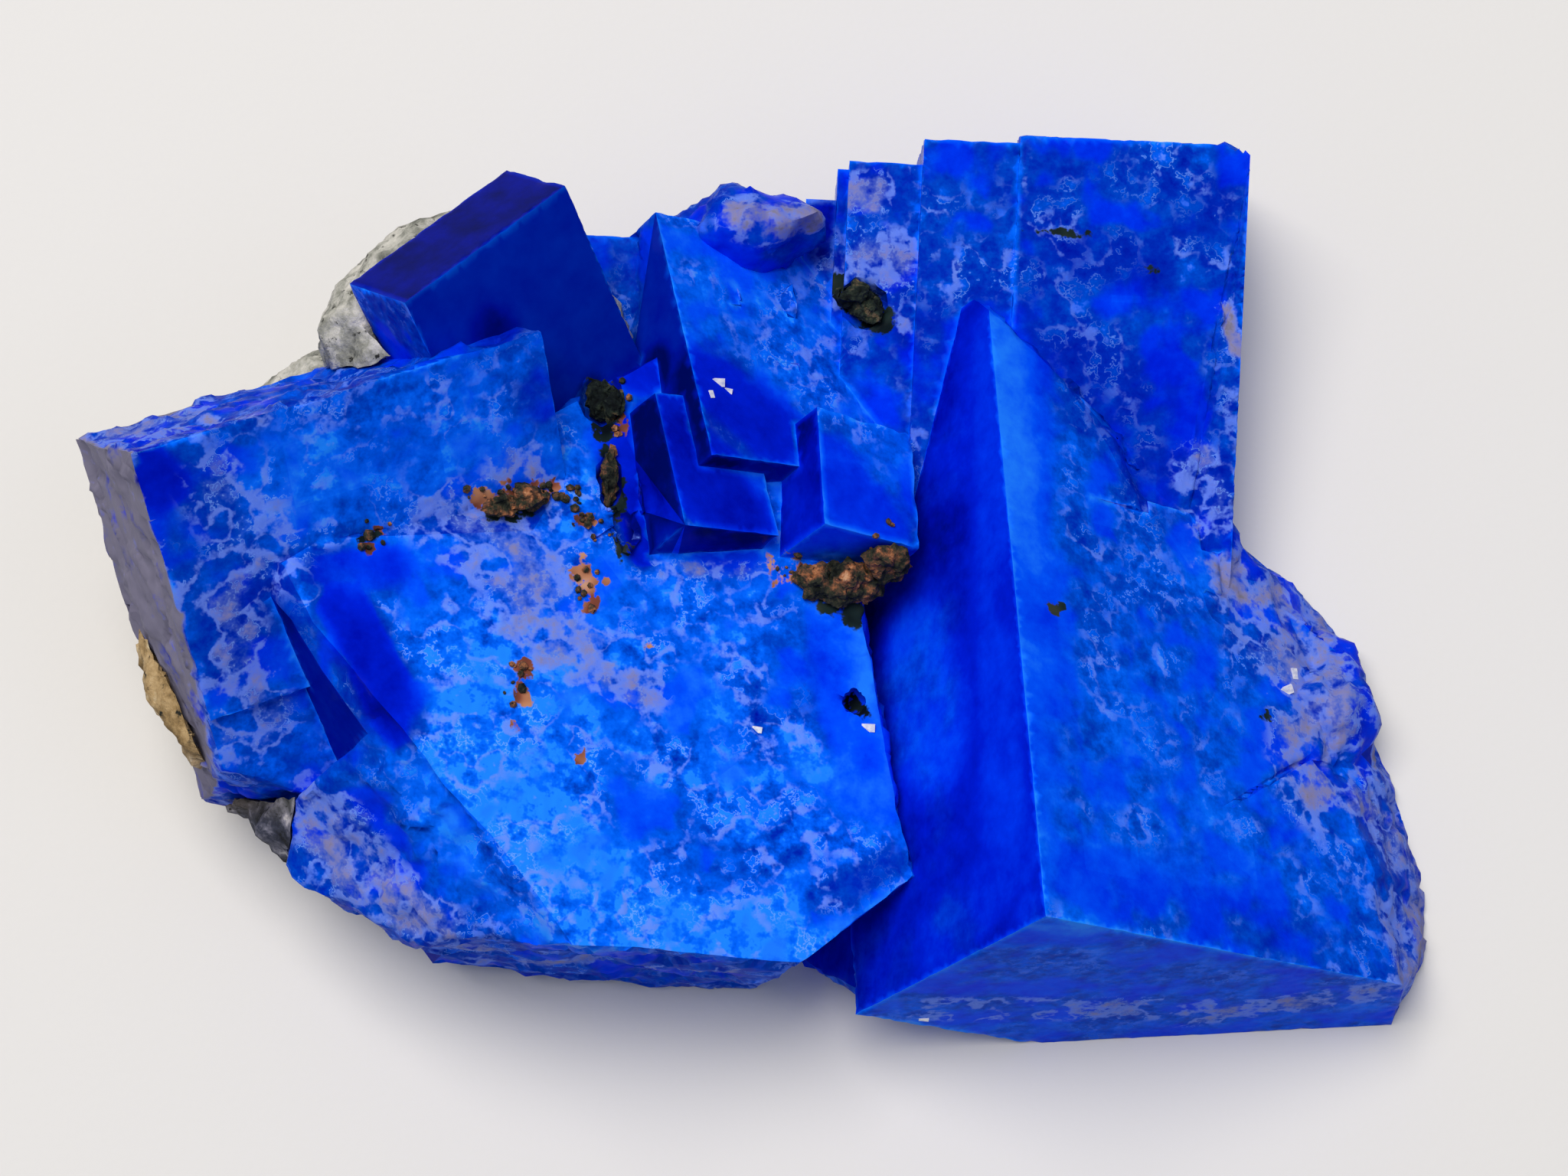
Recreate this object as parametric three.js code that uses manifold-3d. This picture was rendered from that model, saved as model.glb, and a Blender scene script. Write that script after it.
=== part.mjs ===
// A hand specimen of deep blue fluorite: interlocking cubes on a rind of rock.
// Lengths are millimetres. The crystals are laid out face-on: x to the right, y up the display side
// and z out of it. The whole is then laid back so that the display side looks up, and stands on z = 0.
import * as THREE from 'three';
import { mergeVertices } from 'three/addons/utils/BufferGeometryUtils.js';
import { ImprovedNoise } from 'three/addons/math/ImprovedNoise.js';
import Module from 'manifold-3d';

const wasm = await Module();
wasm.setup();

// Driving dimensions
const LAY_BACK = 75;          // degrees between the display side's line of sight and the ground
const REST_DEPTH = -15.5;     // height of the resting face, before the specimen is lifted to z = 0
const GAP = 0.3;              // clearance between pieces that touch
const BREAK_GRID = 3;         // spacing of the facets on a broken surface
const LEDGE_RISE = 0.35;      // how far a growth ledge stands off its crystal face
const CHIPS_PER_LUMP = 18;    // flat chips struck off each broken lump

// Colours and finishes
const fluorite = new THREE.MeshStandardMaterial({ color: '#0b4fd0', roughness: 0.22, metalness: 0 });
const rock = new THREE.MeshStandardMaterial({ color: '#a39d90', roughness: 0.9, metalness: 0 });
const ironCrust = new THREE.MeshStandardMaterial({ color: '#7a5138', roughness: 0.85, metalness: 0 });
const darkCrust = new THREE.MeshStandardMaterial({ color: '#39403c', roughness: 0.85, metalness: 0 });

const noise = new ImprovedNoise();

// A repeatable random sequence for one part of the specimen
function sequence(seed) {
  let state = seed;
  return () => {
    state = (state * 16807) % 2147483647;
    return state / 2147483647;
  };
}

// Layered noise at a place, about -1 to 1
function rough(place, scale, seed) {
  const x = place.x / scale + seed * 7.31;
  const y = place.y / scale - seed * 3.17;
  const z = place.z / scale + seed * 1.93;
  return noise.noise(x, y, z) + 0.5 * noise.noise(2.1 * x, 2.1 * y, 2.1 * z);
}

function solidOf(geometry) {
  const plain = geometry.index ? geometry.clone() : geometry;
  plain.deleteAttribute('normal');
  plain.deleteAttribute('uv');
  const merged = mergeVertices(plain, 1e-4);
  return new wasm.Manifold(new wasm.Mesh({
    numProp: 3,
    vertProperties: new Float32Array(merged.attributes.position.array),
    triVerts: new Uint32Array(merged.index.array),
  }));
}

// Three square axes from an edge direction and a second edge that is nearly square to it
function axesOf(first, second) {
  const a = new THREE.Vector3(...first).normalize();
  const b = new THREE.Vector3(...second);
  b.addScaledVector(a, -a.dot(b)).normalize();
  const c = new THREE.Vector3().crossVectors(a, b);
  return [a, b, c];
}

// A block that reaches from a corner along each axis; spans hold a start and an end per axis
function block(corner, axes, spans, grow = 0) {
  const sizes = spans.map(([from, to]) => to - from + 2 * grow);
  const geometry = new THREE.BoxGeometry(...sizes);
  const middle = new THREE.Vector3(...corner);
  axes.forEach((axis, i) => middle.addScaledVector(axis, (spans[i][0] + spans[i][1]) / 2));
  geometry.applyMatrix4(new THREE.Matrix4().makeBasis(...axes).setPosition(middle));
  return solidOf(geometry);
}

// A slab that takes away everything beyond a rough plane; normal points to the side that goes
function roughSlab(point, normal, reach, height, seed) {
  const cells = Math.round((2 * reach) / BREAK_GRID);
  const thickness = 40;
  const geometry = new THREE.BoxGeometry(2 * reach, 2 * reach, thickness, cells, cells, 1);
  geometry.translate(0, 0, thickness / 2);
  const turn = new THREE.Quaternion();
  const out = new THREE.Vector3(...normal).normalize();
  turn.setFromUnitVectors(new THREE.Vector3(0, 0, 1), out);
  const position = geometry.attributes.position;
  const place = new THREE.Vector3();
  for (let i = 0; i < position.count; i += 1) {
    place.fromBufferAttribute(position, i);
    if (place.z < 1) {
      position.setZ(i, height * rough(place, 7, seed));
    }
  }
  geometry.applyQuaternion(turn);
  geometry.translate(...point);
  return solidOf(geometry);
}

// Flat chips struck off a ball of radius 1: the way each faces and how far out it lies
function chipsOf(seed) {
  const random = sequence(seed * 977);
  const chips = [];
  for (let i = 0; i < CHIPS_PER_LUMP; i += 1) {
    const normal = new THREE.Vector3(random() - 0.5, random() - 0.5, random() - 0.5).normalize();
    chips.push({ normal, depth: 0.68 + 0.22 * random() });
  }
  return chips;
}

// An irregular broken lump with flat facets
function lump(centre, radii, seed, bumps = 0.22, detail = 3) {
  const geometry = new THREE.IcosahedronGeometry(1, detail);
  const position = geometry.attributes.position;
  const chips = chipsOf(seed);
  const place = new THREE.Vector3();
  for (let i = 0; i < position.count; i += 1) {
    place.fromBufferAttribute(position, i);
    const reaches = chips.map(({ normal, depth }) => depth / Math.max(place.dot(normal), 0.2));
    const reach = Math.min(1, ...reaches);
    place.multiplyScalar(reach * (1 + bumps * rough(place, 0.8, seed)));
    position.setXYZ(i, place.x * radii[0], place.y * radii[1], place.z * radii[2]);
  }
  geometry.translate(...centre);
  return solidOf(geometry);
}

// The crystals, each a cube corner with its edge directions and how far it reaches along them.
// Breaks hold a point and the direction that is broken away; flat ones are cleavages.
const tiltedUp = axesOf([-0.05, 0.895, -0.444], [-0.55, -0.397, -0.736]);
const smallTilt = axesOf([-0.214, 0.894, -0.394], [-0.579, -0.441, -0.686]);
const faceOn = axesOf([-0.999, 0.047, 0], [-0.047, -0.999, 0]);
const leaning = axesOf([0.595, -0.801, 0.062], [0.73, 0.506, -0.459]);
const leftward = axesOf([-0.865, -0.305, 0.4], [0.1, -0.905, -0.41]);
const farLeft = axesOf([0.704, 0.587, -0.399], [-0.628, 0.251, -0.737]);

const leftStrip = { point: [-35.8, 6.4, 13], normal: [-0.86, -0.36, 0.36], height: 0.35, seed: 3 };
const lowerLeftBreak = { point: [-23.1, -7.8, 7.4], normal: [-0.45, -0.3, 0.84], height: 0.7, seed: 2 };
const lowerBreak = { point: [-14.6, -20.2, 7.5], normal: [-0.06, -0.97, 0.23], height: 0.6, seed: 9 };
const rightBreaks = [
  { point: [25.8, 1.2, -6.9], normal: [0.6, 0.43, 0.67], height: 0.6, seed: 5 },
  { point: [33.2, -9, -6.9], normal: [0.79, 0.37, 0.49], height: 0.6, seed: 8 },
  { point: [37.4, -7.7, -8], normal: [0.97, 0.15, 0.19], height: 0.9, seed: 12 },
  { point: [39.1, -21.2, -5], normal: [0.9, -0.36, 0.25], height: 0.7, seed: 14 },
];

const crystals = [
  {
    name: 'right cube',
    corner: [14.5, -18.2, 12],
    axes: tiltedUp,
    spans: [[0, 40.9], [0, 18.6], [-34, 0]],
    breaks: [...rightBreaks, { point: [27.5, 3.4, -8], normal: [0.68, 0.73, 0.09], height: 0.6, seed: 4 }],
  },
  {
    name: 'hidden cube',
    corner: [14.5, -18.2, 12],
    axes: tiltedUp,
    spans: [[1.9, 26], [12, 26], [-12, -0.7]],
    breaks: [{ point: [4, -23.9, -3], normal: [-0.46, -0.88, 0.12], height: 0.4, seed: 15 }],
  },
  {
    name: 'top right cube',
    corner: [28.9, 27, -7.9],
    axes: faceOn,
    spans: [[0, 14.3], [-0.4, 27], [-14, 0]],
    breaks: [{ point: [27.4, 27.3, -8], normal: [0.3, 0.95, 0.1] }],
  },
  { name: 'top right step', corner: [14.8, 27.6, -8.1], axes: faceOn, spans: [[-2, 6.1], [0, 24], [-14, 0]] },
  { name: 'second step', corner: [8.6, 26.5, -9.6], axes: faceOn, spans: [[-3, 4.5], [0, 18], [-12, 0]] },
  { name: 'third step', corner: [4.4, 26.4, -11.4], axes: faceOn, spans: [[-3, 1], [0, 16], [-10, 0]] },
  { name: 'fourth step', corner: [3.8, 24.6, -12.6], axes: faceOn, spans: [[-4, 2.4], [0, 14], [-9, 0]] },
  { name: 'upper crystal', corner: [-7.9, 23.1, -6.3], axes: smallTilt, spans: [[-17, 0], [0, 9], [-24, 0]] },
  { name: 'small dark cube', corner: [-5.8, 3.7, 2.4], axes: smallTilt, spans: [[0, 9], [0, 4.7], [-7, 0]] },
  { name: 'smaller cube', corner: [2.4, 3.8, 0.2], axes: tiltedUp, spans: [[0, 8], [0, 6], [-7, 0]] },
  {
    name: 'front cube',
    corner: [-29.4, 0.8, 8.1],
    axes: leaning,
    spans: [[-4, 35.9], [0, 42], [-17, 0]],
    breaks: [
      { point: [-29.4, 1, 8.2], normal: [-0.47, 0.88, 0.1] },
      { point: [4.8, -2.7, -4.5], normal: [0.98, 0.2, 0.04], height: 0.3, seed: 6 },
      lowerLeftBreak,
      lowerBreak,
    ],
  },
  {
    name: 'foot of the front cube',
    corner: [-29.4, 0.8, 8.1],
    axes: leaning,
    spans: [[10.6, 35.9], [-14, 2], [-17, -0.2]],
    breaks: [
      lowerLeftBreak,
      lowerBreak,
      { point: [-28.6, -13.5, 0], normal: [-0.98, 0.15, 0.1], height: 0.5, seed: 17 },
      { point: [-24.6, -19.6, 0], normal: [-0.53, -0.84, 0.1], height: 0.7, seed: 18 },
    ],
  },
  {
    name: 'left cube',
    corner: [-14.1, 15, 3.7],
    axes: leftward,
    spans: [[0, 30], [0, 17], [-14, 0]],
    breaks: [leftStrip, { point: [-38, 7.9, 9], normal: [-0.24, 0.95, 0.2], height: 0.4, seed: 16 }],
  },
  {
    name: 'lower left cube',
    corner: [-14.6, 14, 2.9],
    axes: leftward,
    spans: [[15.6, 30], [8, 28], [-9.5, 0]],
    breaks: [leftStrip, { point: [-32.3, -10.2, 6], normal: [-0.18, -0.95, 0.25], height: 0.4, seed: 7 }],
  },
  { name: 'upper left cube', corner: [-21.8, 16.4, 5.7], axes: farLeft, spans: [[0, 12.6], [0, 6.2], [-16, 0]] },
  {
    name: 'pale wedge',
    corner: [27.7, 1.9, -10.6],
    axes: axesOf([0.765, -0.643, 0], [-0.57, -0.68, 0.46]),
    spans: [[0, 10.4], [0, 9], [0, 9]],
    breaks: [{ point: [36.6, -6, -12], normal: [0.9, -0.1, 0.3], height: 0.8, seed: 19 }],
  },
  { name: 'seam crystal', corner: [-15, 16, -7.5], axes: faceOn, spans: [[-7, 3], [-6, 14], [-8, 0]] },
];

function crystalSolid(crystal, grow = 0) {
  let solid = block(crystal.corner, crystal.axes, crystal.spans, grow);
  for (const { point, normal, height = 0, seed = 1 } of crystal.breaks ?? []) {
    const away = new THREE.Vector3(...normal).normalize();
    const moved = new THREE.Vector3(...point).addScaledVector(away, grow);
    solid = solid.subtract(roughSlab(moved.toArray(), normal, 45, height, seed));
  }
  return solid;
}

// Pale broken lumps round the rim, part of the same growth: centre, radii and seed
const paleLumps = [
  { centre: [-2.5, 22.6, -11], radii: [5.2, 3, 4.6], seed: 21 },
  { centre: [34, -8.5, -12], radii: [4, 6, 6], seed: 22 },
  { centre: [27.4, 2.4, -12], radii: [1.7, 2.1, 3.4], seed: 24 },
];

// The ground plane in the face-on frame, as a flat slab that takes away all below it
function groundCut() {
  const tilt = THREE.MathUtils.degToRad(90 - LAY_BACK);
  const down = [0, -Math.sin(tilt), -Math.cos(tilt)];
  const point = down.map((value) => -value * REST_DEPTH);
  return roughSlab(point, down, 70, 0, 1);
}

// Growth ledges: thin plates on the crystal faces. The axis picks the face of the crystal.
const ledgeFaces = [
  { crystal: 'right cube', axis: 1, along: [3, 33], across: [-19, -3], count: 12, seed: 41 },
  { crystal: 'front cube', axis: 2, along: [5, 29], across: [3, 24], count: 12, seed: 47 },
  { crystal: 'left cube', axis: 2, along: [3, 21], across: [1, 12], count: 8, seed: 53 },
  { crystal: 'top right cube', axis: 2, along: [1, 12], across: [2, 24], count: 7, seed: 59 },
  { crystal: 'second step', axis: 2, along: [-1, 4], across: [1, 9], count: 3, seed: 61 },
  { crystal: 'upper crystal', axis: 1, along: [-14, -2], across: [-13, -2], count: 7, seed: 67 },
];

function ledgePlates({ crystal: name, axis, along, across, count, seed }, grow = 0) {
  const crystal = crystals.find((candidate) => candidate.name === name);
  const random = sequence(seed);
  const [first, second] = [0, 1, 2].filter((i) => i !== axis);
  const plates = [];
  for (let i = 0; i < count; i += 1) {
    const spans = [];
    const length = 1.5 + 4 * random();
    const width = 1.2 + 3 * random();
    const start = along[0] + (along[1] - along[0] - length) * random();
    const rise = LEDGE_RISE * (0.5 + random());
    const level = crystal.spans[axis][axis === 2 ? 1 : 0];
    spans[first] = [start, start + length];
    const over = across[0] + (across[1] - across[0] - width) * random();
    spans[second] = [over, over + width];
    spans[axis] = axis === 2 ? [level - 1, level + rise] : [level - rise, level + 1];
    plates.push(block(crystal.corner, crystal.axes, spans, grow));
  }
  return plates;
}

const ground = groundCut();

function unionOf(solids) {
  return solids.reduce((joined, solid) => joined.add(solid));
}

// The piece left over from a cut that holds the most material
function largestOf(solid) {
  const bodies = solid.decompose();
  bodies.sort((one, other) => other.volume() - one.volume());
  return bodies[0];
}

function lumpsOf(list, grow = 0, bumps = 0.22, detail = 3) {
  return unionOf(list.map(({ centre, radii, seed }) => (
    lump(centre, radii.map((radius) => radius + grow), seed, bumps, detail)
  )));
}

// Everything blue, grown by a clearance where a neighbour has to fit round it
function growth(grow) {
  return unionOf([
    ...crystals.map((crystal) => crystalSolid(crystal, grow)),
    ...ledgeFaces.flatMap((face) => ledgePlates(face, grow)),
    lumpsOf(paleLumps, grow),
  ]);
}

// Hollows between the crystals: centre, radii and seed. The iron crusts sit in most of them.
const hollows = [
  { centre: [-11, 11.6, -3], radii: [1.5, 2.1, 2.6], seed: 91 },
  { centre: [-10.5, 6.6, -1.1], radii: [0.9, 2.3, 1.5], seed: 92 },
  { centre: [-9.5, 3.7, -0.1], radii: [0.8, 1.8, 1.4], seed: 93 },
  { centre: [4.8, 17.9, -9.6], radii: [1.8, 1.7, 2], seed: 94 },
  { centre: [4.2, -6.9, -2.2], radii: [0.8, 0.9, 1.3], seed: 95 },
];

const cluster = growth(0).subtract(lumpsOf(hollows, 0, 0.2, 2)).subtract(ground);
const room = growth(GAP).subtract(lumpsOf(hollows, -GAP, 0.2, 2));

// Iron crusts that fill the valleys between the crystals
const crusts = {
  crust_pit: [
    { centre: [-11.1, 11.3, -4.1], radii: [1.1, 1.5, 1.2], seed: 71 },
    { centre: [-10.2, 11, -3], radii: [0.9, 1.3, 1], seed: 72 },
  ],
  crust_seam: [
    { centre: [-10.5, 6.7, -1.6], radii: [0.8, 2.2, 1.1], seed: 73 },
    { centre: [-9.6, 3.9, -0.7], radii: [0.8, 1.9, 1.2], seed: 74 },
  ],
  crust_left: [
    { centre: [-17, 4.8, 1.9], radii: [1.6, 0.9, 1.2], seed: 75 },
    { centre: [-15.3, 5.3, 1.3], radii: [1.7, 1.2, 1.3], seed: 76 },
  ],
  crust_middle: [
    { centre: [3.7, 0.3, -4], radii: [2.3, 2, 1.7], seed: 77 },
    { centre: [6.2, 1.9, -3.6], radii: [1.7, 1.8, 2], seed: 78 },
    { centre: [1.7, 0.3, -3.5], radii: [2, 1.2, 1.3], seed: 79 },
  ],
  crust_upper: [
    { centre: [4.4, 18.3, -10.2], radii: [1.3, 1.2, 1.4], seed: 80 },
    { centre: [5.3, 17.2, -10], radii: [1.2, 1.1, 1.3], seed: 81 },
  ],
};

// The rock rind under the crystals
const rockLumps = [
  { centre: [-30.1, -4.2, -5], radii: [9, 13.8, 11], seed: 31 },
  { centre: [-19.3, 12.9, -6.4], radii: [10.2, 11.4, 11], seed: 32 },
  { centre: [-25, 5, -11.5], radii: [11, 11, 8], seed: 36 },
  { centre: [-27, -12, -6], radii: [6.4, 6.4, 8], seed: 35 },
  { centre: [-13, -11.5, -9], radii: [16.5, 11.3, 12], seed: 33 },
  { centre: [4, 5, -19], radii: [20, 14, 8.5], seed: 34 },
];
const crustRoom = unionOf(Object.values(crusts).map((list) => lumpsOf(list, GAP, 0.22, 2)));
const rind = largestOf(lumpsOf(rockLumps, 0, 0.12, 3).subtract(ground).subtract(room).subtract(crustRoom));

function meshOf(name, solid, material) {
  const result = solid.getMesh();
  const geometry = new THREE.BufferGeometry();
  geometry.setAttribute('position', new THREE.BufferAttribute(result.vertProperties, 3));
  geometry.setIndex(new THREE.BufferAttribute(result.triVerts, 1));
  const mesh = new THREE.Mesh(geometry, material);
  mesh.name = name;
  return mesh;
}

const specimen = new THREE.Group();
const laidBack = new THREE.Group();
laidBack.rotation.x = THREE.MathUtils.degToRad(90 - LAY_BACK);
laidBack.add(meshOf('fluorite_cluster', cluster, fluorite));
laidBack.add(meshOf('host_rock', rind, rock));
for (const [name, list] of Object.entries(crusts)) {
  const solid = largestOf(lumpsOf(list, 0, 0.22, 2).subtract(room));
  const material = name === 'crust_upper' ? darkCrust : ironCrust;
  laidBack.add(meshOf(name, solid, material));
}
specimen.add(laidBack);

// Stand the specimen on z = 0 with the middle of its footprint over the origin
specimen.updateMatrixWorld(true);
const bounds = new THREE.Box3().setFromObject(specimen, true);
const middle = bounds.getCenter(new THREE.Vector3());
specimen.position.set(-middle.x, -middle.y, -bounds.min.z);
specimen.updateMatrixWorld(true);

export default specimen;
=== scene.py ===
# A hand specimen of deep blue fluorite: cubes grown through each other on a thin rind of rock.
# It lies display side up on a sheet of pale paper under soft daylight.
import math

import bmesh
import bpy
import numpy as np
from mathutils import Matrix, Vector, noise
from mathutils.bvhtree import BVHTree


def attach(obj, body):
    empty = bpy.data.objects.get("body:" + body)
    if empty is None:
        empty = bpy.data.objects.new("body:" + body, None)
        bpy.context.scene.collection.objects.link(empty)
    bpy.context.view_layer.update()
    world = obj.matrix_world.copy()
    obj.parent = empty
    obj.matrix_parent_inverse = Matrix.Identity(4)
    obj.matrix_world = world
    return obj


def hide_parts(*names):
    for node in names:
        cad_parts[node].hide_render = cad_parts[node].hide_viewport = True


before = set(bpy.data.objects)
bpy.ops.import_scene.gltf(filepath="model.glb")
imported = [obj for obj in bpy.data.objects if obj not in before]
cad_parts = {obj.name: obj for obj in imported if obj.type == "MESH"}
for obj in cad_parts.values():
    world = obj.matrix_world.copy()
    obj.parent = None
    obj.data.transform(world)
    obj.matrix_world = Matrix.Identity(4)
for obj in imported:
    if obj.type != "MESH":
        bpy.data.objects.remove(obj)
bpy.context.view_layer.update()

# Camera
# The picture is taken from above the front, square to the display side. Places on that side are
# given as millimetres right of and above the middle of the picture, at the display side's depth.
MM = 0.001
LAY_BACK = math.radians(15)          # how far the display side leans back from looking straight up
VIEW_DISTANCE = 181 * MM
DISPLAY_MIDDLE = Vector((0.946, -3.816, 15.5)) * MM

display_turn = Matrix.Rotation(LAY_BACK, 3, "X")
eye = DISPLAY_MIDDLE + display_turn @ Vector((0, 0, VIEW_DISTANCE))
bpy.ops.object.camera_add(location=eye, rotation=(LAY_BACK, 0, 0))
camera = bpy.context.object
camera.name = "camera"
camera.data.lens = 70
camera.data.sensor_width = 36
camera.data.clip_start = 10 * MM
camera.data.clip_end = 5
bpy.context.scene.camera = camera

# Paper and light
# A sheet of white paper with a fine tooth. Daylight falls through a large window from the upper
# left, and a cool wall on the lower right sends a little back.
PAPER_SIZE = 2.4
PAPER_TOOTH = 0.45 * MM


def linear(hex_colour):
    """An sRGB hex colour as linear red, green, blue and full alpha."""
    parts = [int(hex_colour[i:i + 2], 16) / 255 for i in (1, 3, 5)]
    return tuple(c / 12.92 if c <= 0.04045 else ((c + 0.055) / 1.055) ** 2.4 for c in parts) + (1.0,)


def add_node(material, kind, settings=None, links=None):
    """Adds a shader node, sets its properties and sockets, and links other nodes' outputs to it."""
    tree = material.node_tree
    node = tree.nodes.new("ShaderNode" + kind)
    for name, value in (settings or {}).items():
        if isinstance(name, str) and hasattr(node, name):
            setattr(node, name, value)
        else:
            node.inputs[name].default_value = value
    for name, output in (links or {}).items():
        tree.links.new(output, node.inputs[name])
    return node


def new_material(name):
    """A material with its coordinates and its Principled shader, ready to be built up."""
    material = bpy.data.materials.new(name)
    material.use_nodes = True
    shader = material.node_tree.nodes["Principled BSDF"]
    place = add_node(material, "TexCoord").outputs["Object"]
    return material, shader, place


def add_relief(material, shader, height, strength, depth):
    """Relief too fine for the mesh, which bends the light by a pattern of heights."""
    bump = add_node(material, "Bump", {"Strength": strength, "Distance": depth}, {"Height": height})
    material.node_tree.links.new(bump.outputs["Normal"], shader.inputs["Normal"])


def deselect_all():
    bpy.ops.object.select_all(action="DESELECT")


deselect_all()
bpy.ops.mesh.primitive_plane_add(size=PAPER_SIZE, location=(0, 0, 0))
paper = bpy.context.object
paper.name = "paper"

paper_white, paper_shader, paper_place = new_material("uncoated_white_paper")
tooth = add_node(paper_white, "TexNoise", {"Scale": 1 / PAPER_TOOTH, "Detail": 0.0}, {"Vector": paper_place})
add_relief(paper_white, paper_shader, tooth.outputs["Fac"], 0.12, 0.1 * MM)
paper_shader.inputs["Base Color"].default_value = linear("#d9dadb")
paper_shader.inputs["Roughness"].default_value = 0.95
paper_shader.inputs["Specular IOR Level"].default_value = 0.1
paper.data.materials.append(paper_white)


def add_window(name, place, size, watts, colour):
    """A square area light that faces the specimen."""
    bpy.ops.object.light_add(type="AREA", location=place)
    light = bpy.context.object
    light.name = name
    light.data.size = size
    light.data.energy = watts
    light.data.color = linear(colour)[:3]
    light.rotation_euler = (-Vector(place)).to_track_quat("-Z", "Y").to_euler()


add_window("window", (-0.22, 0.20, 0.97), 0.6, 11.0, "#fff7ec")
add_window("wall", (0.6, -0.3, 0.95), 0.7, 1.0, "#dfe8ff")

world = bpy.data.worlds.new("room")
world.use_nodes = True
world.node_tree.nodes["Background"].inputs["Color"].default_value = linear("#dbe2f0")
world.node_tree.nodes["Background"].inputs["Strength"].default_value = 0.3
bpy.context.scene.world = world
bpy.context.scene.view_settings.view_transform = "Standard"

# Fluorite growth
# One solid piece of fluorite: cubes grown through each other, cloudy blue inside with pale veins.
# Smooth faces show the clear dark inside, etched faces scatter light and look azure, and broken
# rims turn lavender where the blue runs out.
# Light and shade are partly painted into the blue: faces turned to the right are lighter, faces turned to
# the left darker.
WELD_DISTANCE = 0.002 * MM           # vertices closer than this are one
LONGEST_EDGE = 0.75 * MM             # longer edges are split, in this many passes
SPLIT_PASSES = 7
SAME_DIRECTION = 0.9985              # cosine within which a face belongs to a cube
CRYSTAL_AXES = {                     # two edge directions of each cube, with the display side facing +Z
    "right cube": ((-0.05, 0.895, -0.444), (-0.55, -0.397, -0.736)),
    "upper crystal": ((-0.214, 0.894, -0.394), (-0.579, -0.441, -0.686)),
    "top right cube": ((-0.999, 0.047, 0.0), (-0.047, -0.999, 0.0)),
    "front cube": ((0.595, -0.801, 0.062), (0.73, 0.506, -0.459)),
    "left cube": ((-0.865, -0.305, 0.4), (0.1, -0.905, -0.41)),
    "upper left cube": ((0.704, 0.587, -0.399), (-0.628, 0.251, -0.737)),
}
FACE_LOOKS = [                       # cube, axis and side of a face: level of its blue, partly painted light, how veined it is
    ("right cube", 2, 1, 0.34, 0.15),
    ("right cube", 1, -1, 0.72, 0.5),
    ("right cube", 0, -1, 0.72, 0.32),
    ("upper crystal", 2, 1, 0.3, 0.08),
    ("upper crystal", 1, -1, 0.78, 0.6),
    ("upper crystal", 0, -1, 0.42, 0.05),
    ("top right cube", 2, 1, 0.55, 0.55),
    ("front cube", 2, 1, 0.82, 0.9),
    ("front cube", 1, -1, 0.26, 0.05),
    ("left cube", 2, 1, 0.74, 0.55),
    ("upper left cube", 2, 1, 0.08, 0.02),
    ("upper left cube", 1, -1, 0.36, 0.06),
]
CLEAR_BELOW = 0.08                   # faces no more veined than this are clear
BROKEN_LOOK = (0.6, 0.5)             # level and veins where the growth is broken
BRIGHTER = [                         # strokes on the display side: two ends, reach, change of the level; partly a lighter blue of the stone, partly painted sheen
    ((13, 15), (13, -14), 2.2, 0.22),
    ((8, 13), (11, 9), 3.2, 0.12),
    ((7.5, -4), (9, -9), 3.5, 0.36),
    ((14, -16), (9, -21), 2.0, 0.16),
    ((14.5, -19), (18, -20.4), 1.1, 0.2),
    ((-20, -11), (-12, -19), 4.0, 0.34),
    ((-17, -4), (-12, -8), 3.0, 0.12),
    ((-12, -20), (2, -20), 2.0, 0.25),
    ((-30, 6), (-18, 9), 3.0, 0.1),
    ((0.8, -8.8), (1.8, -10.6), 0.9, 0.5),
    ((-6.5, 2.9), (-3.5, 2.6), 0.9, 0.14),
]
DEEPER = [                           # where the clear dark inside shows through, and painted shade on faces turned from the light and under overhangs
    ((-8.6, 12.6), (-8, 13), 1.5, -0.45),
    ((-8, 9), (-3, 4), 3.2, -0.46),
    ((-4, 12), (-1, 9.5), 2.8, -0.4),
    ((2.5, 7.5), (6, 4), 2.4, -0.14),
    ((1, -4), (2, -8), 2.4, -0.1),
    ((-36, 4), (-33, -2), 4.0, -0.16),
    ((17, 12), (24, 6), 4.0, -0.12),
    ((8, 14.5), (9, 11), 2.2, -0.22),
    ((7, 4), (9.5, 3), 2.3, -0.14),
    ((-26, -1), (-22.5, -8), 1.6, -0.5),
    ((-27, 1), (-24, 1), 1.6, -0.35),
    ((-19, -12), (-15.5, -18), 1.2, -0.2),
    ((4.5, -0.5), (5.5, -10), 1.5, -0.22),
    ((2, -19), (6.5, -16), 1.0, -0.3),
    ((-38.5, 7.5), (-37, 6), 1.7, -0.45),
    ((-17, 15), (-14.5, 11), 1.7, -0.25),
    ((18, 20), (21.5, 19), 1.7, -0.14),
    ((-9.2, 6), (-8.4, 2), 0.9, -0.5),
    ((2.5, 22.5), (2.5, 21.5), 1.0, -0.32),
    ((13.5, 0.5), (14.5, -1), 1.9, -0.12),
    ((25, -19.5), (31, -21), 1.9, -0.16),
]
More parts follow.
